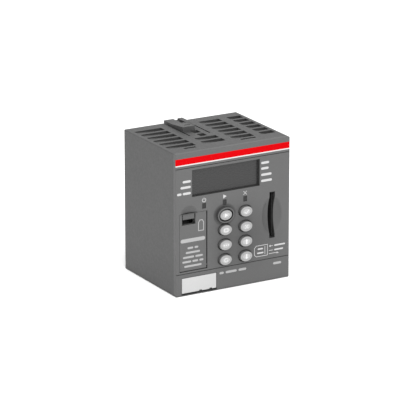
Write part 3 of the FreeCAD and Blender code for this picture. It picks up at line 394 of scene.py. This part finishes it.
MATERIALS = {
    # housing_plastic is set darker than cover_plastic so that the housing's side and top stand darker
    # than the front face: painted shade.
    "housing_plastic": moulded("housing_plastic", grey(0.059), hollow_shade=VENT_HOLLOW_SHADE),
    "cover_plastic": moulded("cover_plastic", grey(0.083), hollow_shade=FACE_HOLLOW_SHADE,
                             painted_shade=(KEYPAD_SHADE, DISH_SHADE, SCOOP_SHADE),
                             shaded_openings=(shaded_window(WINDOW_SPANS), shaded_window(SLOT_SPANS))),
    "red_strip": satin_film("red_strip", (0.465, 0.0022, 0.004, 1.0), 0.5, 0.0),
    "strip_white": satin_film("strip_white", grey(0.52), 0.5, 0.1),
    "label_white": moulded("label_white", grey(0.42), 0.5, 0.000006, specular=0.25),
    "smoked_window": smoked_pane("smoked_window"),
    "frame_black": moulded("frame_black", grey(0.02)),
    "lcd_glass": clear_glass("lcd_glass", (0.35, 0.42, 0.32, 1.0), 0.55),
    "backlight": satin_film("backlight", (0.72, 0.76, 0.66, 1.0)),
    "silicone": rubber("silicone", grey(0.24)),
    "light_pipe": satin_film("light_pipe", grey(0.03), 0.3, 0.12),
    "led": satin_film("led", (0.75, 0.7, 0.5, 1.0)),
    "key_dark": moulded("key_dark", grey(0.1), 0.5, hollow_shade=KEY_HOLLOW_SHADE),
    "key_light": moulded("key_light", grey(0.27), 0.42, 0.000004, specular=0.3),
    "steel": brushed_metal("steel", grey(0.38)),
    "socket_black": moulded("socket_black", grey(0.04), 0.5, specular=0.2),
    "bay_black": moulded("bay_black", grey(0.08), specular=0.2),
    "cell_sleeve": satin_film("cell_sleeve", grey(0.06), 0.4, 0.2),
    "gold": brushed_metal("gold", (0.83, 0.58, 0.24, 1.0), 0.28),
    "board_green": circuit_board("board_green"),
    "chip_black": chip_package("chip_black"),
    "capacitor": brushed_metal("capacitor", (0.3, 0.33, 0.4, 1.0), 0.35),
    "ferrite": chip_package("ferrite"),
    "winding": wound_wire("winding"),
    "connector_black": moulded("connector_black", grey(0.018), 0.45),
}


def dress_cad_nodes():
    """Give every CAD node the material of its slot."""
    for part in frame["record"]["subparts"]:
        piece = frame["nodes"][part["node"]]
        piece.data.materials.clear()
        piece.data.materials.append(MATERIALS[part["material_slot"]])


# ---------------------------------------------------------------- printed marks
def bar(u, v, width, height, radius=None):
    """Outline of a bar centred on u, v, with round ends unless a corner radius is given."""
    if radius is None:
        radius = min(width, height) / 2
    points = []
    for corner, (side, rise) in enumerate(((1, -1), (1, 1), (-1, 1), (-1, -1))):
        middle_u = u + side * (width / 2 - radius)
        middle_v = v + rise * (height / 2 - radius)
        for step in range(CORNER_STEPS + 1):
            angle = math.radians(-90 + corner * 90 + step * 90 / CORNER_STEPS)
            points.append((middle_u + radius * math.cos(angle), middle_v + radius * math.sin(angle)))
    return points


def oval(u, v, width, height):
    """Outline of an oval."""
    turn = [math.radians(step * 90 / CURVE_STEPS) for step in range(4 * CURVE_STEPS)]
    return [(u + width / 2 * math.cos(angle), v + height / 2 * math.sin(angle)) for angle in turn]


MITRE_LIMIT = 0.4           # keeps a mitre from running far out at a sharp corner


def stroke(points, width, closed=False):
    """Four-cornered outlines that draw a line of one width through points, with mitred corners."""
    count = len(points)
    sides = []
    for index, point in enumerate(points):
        before = points[index - 1] if closed or index > 0 else None
        after = points[(index + 1) % count] if closed or index < count - 1 else None
        directions = []
        if before is not None:
            directions.append(Vector((point[0] - before[0], point[1] - before[1])).normalized())
        if after is not None:
            directions.append(Vector((after[0] - point[0], after[1] - point[1])).normalized())
        along = sum(directions, Vector((0.0, 0.0))).normalized()
        across = Vector((-along.y, along.x))
        reach = width / 2 / max(MITRE_LIMIT, along.dot(directions[0]))
        sides.append((Vector(point) + across * reach, Vector(point) - across * reach))
    quads = []
    for index in range(count if closed else count - 1):
        left_a, right_a = sides[index]
        left_b, right_b = sides[(index + 1) % count]
        quads.append([tuple(left_a), tuple(left_b), tuple(right_b), tuple(right_a)])
    return quads


def arc(u, v, radius, start, end):
    """Points on a circle from one angle to another, in degrees."""
    steps = max(2, round(abs(end - start) / 90 * CURVE_STEPS))
    angles = [math.radians(start + (end - start) * step / steps) for step in range(steps + 1)]
    return [(u + radius * math.cos(angle), v + radius * math.sin(angle)) for angle in angles]


def bridge(shape, first, second):
    """Join two rings of as many points with a band of faces."""
    for index in range(len(first)):
        following = (index + 1) % len(first)
        shape.faces.new((first[index], second[index], second[following], first[following]))


def skin(shape, rings):
    """Join a row of rings into a closed form, with a face over each end."""
    for lower, upper in zip(rings, rings[1:]):
        bridge(shape, lower, upper)
    shape.faces.new(rings[0])
    shape.faces.new(rings[-1])


def plate(shape, outline, front_d, back_d):
    """Add a flat plate with an outline on the face, between two depths."""
    back = [shape.verts.new(at(u, v, back_d)) for u, v in outline]
    front = [shape.verts.new(at(u, v, front_d)) for u, v in outline]
    shape.faces.new(front)
    shape.faces.new(list(reversed(back)))
    bridge(shape, front, back)


def placed(name, data):
    """A new object in the scene."""
    thing = bpy.data.objects.new(name, data)
    bpy.context.scene.collection.objects.link(thing)
    return thing


def finished(name, shape, material):
    """Turn a bmesh into a shown piece with one material."""
    bmesh.ops.recalc_face_normals(shape, faces=shape.faces)
    data = bpy.data.meshes.new(name)
    shape.to_mesh(data)
    shape.free()
    data.materials.append(material)
    piece = placed(name, data)
    return piece


def mark(name, outlines, depth, body, material):
    """One printed piece on a body: each outline is a thin plate whose back lies at a depth."""
    shape = bmesh.new()
    for outline in outlines:
        plate(shape, outline, depth - INK, depth)
    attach(finished(name, shape, material), body)


WORD_GAP = 0.7              # space between two bars in a line


def row_width(widths, gap=WORD_GAP):
    return sum(widths) + gap * (len(widths) - 1)


def word_bars(u_start, v, widths, height, gap=WORD_GAP):
    """Plain bars side by side, in place of a line of words."""
    outlines = []
    u = u_start
    for width in widths:
        outlines.append(bar(u + width / 2, v, width, height))
        u += width + gap
    return outlines


def centred_bars(u, v, widths, height):
    """Plain bars side by side, centred on u."""
    return word_bars(u - row_width(widths) / 2, v, widths, height)


LABEL_LINE = 1.25           # height of the plain bars that stand for labels
LEGEND_PANEL = (4.6, 3.0)   # width and height of the pale panel on a key
LEGEND_SINK = 0.05          # depth of the caps' panels
INK_WHITE = satin_film("ink_white", grey(0.42), 0.5, 0.2)
INK_SOFT = satin_film("ink_soft", grey(0.3), 0.5, 0.2)
INK_PANEL = satin_film("ink_panel", grey(0.35), 0.5, 0.2)
INK_KEY = satin_film("ink_key", grey(0.56), 0.45, 0.2)


def status_labels():
    """Plain bars beside the display, right-aligned on its left and left-aligned on its right."""
    left_edge, right_edge = 8.75, 50.25
    left_rows = ((15.0, (4.75,)), (18.0, (6.0,)), (21.25, (2.6, 4.7)))
    right_rows = ((11.75, (4.75,)), (14.75, (4.5,)), (18.1, (6.25,)), (21.35, (6.5,)))
    outlines = []
    for v, widths in left_rows:
        outlines += word_bars(left_edge - row_width(widths), v, widths, LABEL_LINE)
    for v, widths in right_rows:
        outlines += word_bars(right_edge, v, widths, LABEL_LINE)
    mark("print_status_labels", outlines, 0.0, "case", INK_WHITE)


def lamp_symbols():
    """Generic symbols over the three status lamps: power, go and fault."""
    v, line = 26.15, 0.32
    power_u, go_u, fault_u = 16.5, 28.7, 40.75
    outlines = stroke(arc(power_u, v + 0.1, 1.0, -55, 235), line)
    outlines += stroke([(power_u, v - 1.2), (power_u, v - 0.1)], line)
    outlines.append([(go_u - 0.9, v - 1.1), (go_u + 1.1, v), (go_u - 0.9, v + 1.1)])
    outlines += stroke([(fault_u - 0.95, v - 0.95), (fault_u + 0.95, v + 0.95)], line)
    outlines += stroke([(fault_u - 0.95, v + 0.95), (fault_u + 0.95, v - 0.95)], line)
    mark("print_lamp_symbols", outlines, 0.0, "case", INK_WHITE)


def arrow(u_from, u_to, v, line, head):
    """A horizontal arrow that points at u_to."""
    way = 1 if u_to > u_from else -1
    shaft = stroke([(u_from, v), (u_to - way * head, v)], line)
    tip = [(u_to - way * head, v - head * 0.62), (u_to, v), (u_to - way * head, v + head * 0.62)]
    return shaft + [tip]


def card_pictogram():
    """Outline of a memory card with arrows that show how it goes in and comes out."""
    line, word_height = 0.28, 0.8
    left, right, top, bottom = 46.5, 54.3, 56.1, 61.9
    cut = 1.1
    arrow_left, arrow_right, words_left = 55.2, 57.6, 58.4
    insert_v, push_v, turn_v = 57.3, 59.7, 61.4
    body = [(left + cut, top), (right, top), (right, bottom), (left + cut, bottom),
            (left, bottom - cut), (left, top + cut)]
    outlines = stroke(body, line, closed=True)
    outlines += stroke([(right - 1.5, top + 0.7), (right - 1.5, bottom - 0.7)], line)
    outlines += centred_bars(50.0, 57.9, (3.2,), word_height)
    outlines += centred_bars(50.0, 60.1, (3.8,), word_height)
    outlines += arrow(arrow_right, arrow_left, insert_v, line, 1.0)
    outlines += word_bars(words_left, insert_v, (6.6,), word_height)
    outlines += stroke([(arrow_left, push_v), (arrow_right, push_v)], line)
    outlines += word_bars(words_left, push_v, (5.4,), word_height)
    outlines += stroke([(arrow_left, turn_v), (60.4, turn_v)], line)
    outlines.append([(60.2, turn_v - 0.5), (61.2, turn_v + 0.5), (59.6, turn_v + 0.5)])
    mark("print_card_pictogram", outlines, 0.0, "case", INK_WHITE)


def lower_band_labels():
    """Plain bars on the lower band, beside the marker label."""
    v = 67.15
    outlines = word_bars(25.6, v, (2.6, 6.6, 4.6), LABEL_LINE, 1.1)
    outlines += word_bars(57.8, v, (4.9,), LABEL_LINE)
    mark("print_lower_labels", outlines, 0.0, "case", INK_SOFT)


def battery_symbol():
    """Outline of a battery on the door."""
    line = 0.42
    left, right, top, bottom = 13.2, 16.2, 37.5, 42.1
    nub_left, nub_right, nub_top = 14.0, 15.4, 36.5
    shoulder = top + 0.3
    outline = [(left, shoulder), (nub_left, nub_top), (nub_right, nub_top), (right, shoulder),
               (right, bottom), (left, bottom)]
    outlines = stroke(outline, line, closed=True)
    mark("print_battery_symbol", outlines, 0.0, "door", INK_SOFT)


def door_lines():
    """Plain bars on the battery door, in place of a heading and five lines of small print."""
    centre = 9.9
    outlines = centred_bars(centre, 46.4, (14.4,), 2.0)
    first_line, pitch = 50.5, 2.425
    words = ((3.4, 2.2), (8.4,), (6.6, 4.4), (5.2, 3.4, 2.4), (10.2,))
    for row, widths in enumerate(words):
        outlines += centred_bars(centre, first_line + row * pitch, widths, 1.05)
    mark("print_door_lines", outlines, 0.0, "door", INK_SOFT)


# The signs on the keys: each function gives the outlines of one sign about u, v.
SIGN_LINE = 0.34            # line width


def go_sign(u, v):
    return [[(u - 0.8, v - 1.0), (u + 1.2, v), (u - 0.8, v + 1.0)]]


def square_sign(u, v):
    corners = [(u - 1.0, v - 0.8), (u + 1.0, v - 0.8), (u + 1.0, v + 0.8), (u - 1.0, v + 0.8)]
    return stroke(corners, SIGN_LINE, closed=True)


def dots_sign(u, v):
    return [bar(u + side, v, 0.7, 0.7) for side in (-1.2, 0.0, 1.2)]


def ring_sign(u, v):
    return stroke(arc(u, v, 0.95, 0, 330), SIGN_LINE)


def tick_sign(u, v):
    return stroke([(u - 1.3, v + 0.1), (u - 0.3, v + 0.9), (u + 1.4, v - 0.9)], SIGN_LINE)


def cross_sign(u, v):
    falling = stroke([(u - 0.9, v - 0.9), (u + 0.9, v + 0.9)], SIGN_LINE)
    rising = stroke([(u - 0.9, v + 0.9), (u + 0.9, v - 0.9)], SIGN_LINE)
    return falling + rising


def arrow_sign(u, v, way):
    """An upright arrow: way is -1 for up and 1 for down."""
    head_v = v + 0.4 * way
    head = [(u - 0.85, head_v), (u, v + 1.45 * way), (u + 0.85, head_v)]
    return [head] + stroke([(u, head_v), (u, v - 1.4 * way)], 0.8)


def up_sign(u, v):
    return arrow_sign(u, v, -1)


def down_sign(u, v):
    return arrow_sign(u, v, 1)


KEY_SIGNS = (go_sign, square_sign, dots_sign, ring_sign, tick_sign, cross_sign, up_sign, down_sign)


def key_legends():
    """A pale panel and a generic sign on each key."""
    for number, sign in enumerate(KEY_SIGNS, start=1):
        u_span, v_span, d_span = face_span(f"key_{number}_cap")
        u, v, floor_d = middle(u_span), middle(v_span), d_span[0] + LEGEND_SINK
        body = f"key_{number}"
        panel = [oval(u, v, *LEGEND_PANEL)]
        mark(f"print_panel_{number}", panel, floor_d, body, INK_PANEL)
        mark(f"print_key_{number}", sign(u, v), floor_d - INK, body, INK_KEY)


# ---------------------------------------------------------------- springs and rubber domes
LATCH_WIRE = 0.00013        # wire radius of each spring, in metres
EJECT_WIRE = 0.00016
WIRE_SIDES = 8              # facets round a spring's wire
TURN_STEPS = 24             # rings in one turn of a spring


def coil_height(turn, turns, length, wire):
    """How far up a spring its wire is after some turns: the first and last turn lie closed."""
    tight = 2 * wire
    if turn < 1:
        return turn * tight
    if turn > turns - 1:
        return length - (turns - turn) * tight
    return tight + (turn - 1) * (length - 2 * tight) / (turns - 2)


def coil(shape, foot, direction, side, length, radius, wire, turns):
    """Add a round wire wound about a direction, from its foot up."""
    rings = []
    for step in range(turns * TURN_STEPS + 1):
        turn = step / TURN_STEPS
        outward = Quaternion(direction, 2 * math.pi * turn) @ side
        centre = foot + outward * radius + direction * coil_height(turn, turns, length, wire)
        ring = []
        for corner in range(WIRE_SIDES):
            angle = 2 * math.pi * corner / WIRE_SIDES
            spoke = outward * math.cos(angle) + direction * math.sin(angle)
            ring.append(shape.verts.new(centre + spoke * wire))
        rings.append(ring)
    skin(shape, rings)


def unit(axis):
    """A unit vector along X, Y or Z, by number."""
    return Vector([1.0 if index == axis else 0.0 for index in range(3)])


def spring(node, wire, turns, foot_is_low):
    """A spring in place of a CAD node, along its box's longest side."""
    low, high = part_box(node)
    size = high - low
    along = max(range(3), key=lambda axis: size[axis])
    direction, side = unit(along), unit((along + 1) % 3)
    centre = (low + high) / 2
    reach = direction * (size[along] / 2)
    ends = [centre - reach, centre + reach]
    if not foot_is_low:
        ends.reverse()
    foot = centre - reach + direction * wire
    length = size[along] - 2 * wire
    shape = bmesh.new()
    coil(shape, foot, direction, side, length, min(size) / 2 - wire, wire, turns)
    for face in shape.faces:
        face.smooth = True
    piece = finished(f"{node}_coil", shape, MATERIALS["steel"])
    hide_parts(node)
    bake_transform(piece)


# The side of a dome from its foot to its flat top: radius and height in mm.
DOME_PROFILE = ((2.8, 0.0), (2.72, 0.16), (2.55, 0.3), (1.8, 1.22),
                (1.66, 1.42), (1.42, 1.56), (0.9, 1.58))
MAT_SHEET = 0.8             # thickness of the mat between its domes
MAT_CORNER = 1.0            # radius of the mat's corners


def rubber_mat():
    """The sheet of the mat behind the keys."""
    u_span, v_span, d_span = face_span("keypad_mat")
    width, height = u_span[1] - u_span[0], v_span[1] - v_span[0]
    outline = bar(middle(u_span), middle(v_span), width, height, MAT_CORNER)
    shape = bmesh.new()
    plate(shape, outline, d_span[1] - MAT_SHEET, d_span[1])
    piece = finished("keypad_sheet", shape, MATERIALS["silicone"])
    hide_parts("keypad_mat")
    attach(piece, "case")


def rubber_dome(number):
    """The dome of the mat under one key."""
    u_span, v_span, _ = face_span(f"key_{number}_cap")
    u, v = middle(u_span), middle(v_span)
    _, _, mat_d = face_span("keypad_mat")
    foot_d = mat_d[1] - MAT_SHEET
    shape = bmesh.new()
    rings = []
    for radius, height in DOME_PROFILE:
        circle = oval(u, v, 2 * radius, 2 * radius)
        rings.append([shape.verts.new(at(*point, foot_d - height)) for point in circle])
    skin(shape, rings)
    for face in shape.faces:
        face.smooth = len(face.verts) == 4
    piece = finished(f"keypad_dome_{number}", shape, MATERIALS["silicone"])
    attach(piece, "case")
    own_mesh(piece)


# ---------------------------------------------------------------- stage, light and camera
FLOOR_HALF = 3.0            # half its side, in metres
FLOOR_DROP = 0.00005        # how far it lies below the object, in metres
FLOOR_CORNERS = ((-1, -1), (1, -1), (1, 1), (-1, 1))


def floor():
    """A wide pale floor, a hair below the object's underside so that the two never mix."""
    corners = [(side * FLOOR_HALF, end * FLOOR_HALF, -FLOOR_DROP) for side, end in FLOOR_CORNERS]
    data = bpy.data.meshes.new("floor")
    data.from_pydata(corners, [], [(0, 1, 2, 3)])
    piece = placed("floor", data)
    tree = Tree("floor_paper")
    tone = tree.remap(tree.noise(3.0), 0.97, 0.99)
    tree.surface(Base_Color=tree.shade(grey(1.0), tone),
                 Roughness=tree.remap(tree.noise(300.0), 0.75, 0.9), Specular_IOR_Level=0.0)
    data.materials.append(tree.material)


def aim(thing, azimuth, elevation, distance, target):
    """Place a lamp or camera round a target and turn it to face it; azimuth 0 looks along +Y."""
    turn, lift = math.radians(azimuth), math.radians(elevation)
    back = Vector((math.sin(turn) * math.cos(lift), -math.cos(turn) * math.cos(lift), math.sin(lift)))
    thing.location = target + back * distance
    thing.rotation_euler = back.to_track_quat("Z", "Y").to_euler()


def area_light(name, azimuth, elevation, distance, size, energy):
    """A square soft light aimed at the object's middle; azimuth and elevation are in degrees."""
    light = bpy.data.lights.new(name, "AREA")
    light.size = size
    light.energy = energy
    target = Vector((0.0, 0.0, middle((COVER_LOW.z, COVER_HIGH.z))))
    aim(placed(name, light), azimuth, elevation, distance, target)


# The camera stands well away with a long lens: degrees, then metres, then millimetres.
CAMERA_AZIMUTH = -30.07
CAMERA_ELEVATION = 17.47
CAMERA_DISTANCE = 1.5807
CAMERA_AIM_X = 0.00039
CAMERA_AIM_Z = 0.03564
CAMERA_LENS = 263.87
SENSOR = 36.0


def camera():
    """The camera, aimed at the middle of the box."""
    data = bpy.data.cameras.new("camera")
    data.lens = CAMERA_LENS
    data.sensor_width = SENSOR
    data.clip_end = 20.0
    thing = placed("camera", data)
    rear_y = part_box("main_housing")[1].y
    target = Vector((CAMERA_AIM_X, middle((FRONT_Y, rear_y)), CAMERA_AIM_Z))
    aim(thing, CAMERA_AZIMUTH, CAMERA_ELEVATION, CAMERA_DISTANCE, target)
    bpy.context.scene.camera = thing


def surroundings():
    """An even white room, with no tone curve on the picture."""
    world = bpy.data.worlds.new("room")
    world.use_nodes = True
    background = world.node_tree.nodes["Background"]
    background.inputs["Color"].default_value = grey(1.0)
    background.inputs["Strength"].default_value = 1.0
    bpy.context.scene.world = world
    bpy.context.scene.view_settings.view_transform = "Standard"


surroundings()
camera()
floor()
area_light("front_light", azimuth=-18.0, elevation=36.0, distance=1.2, size=0.7, energy=10.0)
area_light("top_light", azimuth=10.0, elevation=80.0, distance=1.2, size=0.9, energy=4.0)
dress_cad_nodes()
status_labels()
lamp_symbols()
card_pictogram()
lower_band_labels()
battery_symbol()
door_lines()
key_legends()
spring("door_latch_spring", LATCH_WIRE, turns=6, foot_is_low=True)
spring("card_eject_spring", EJECT_WIRE, turns=8, foot_is_low=False)
rubber_mat()
for key_number in range(1, len(KEY_SIGNS) + 1):
    rubber_dome(key_number)
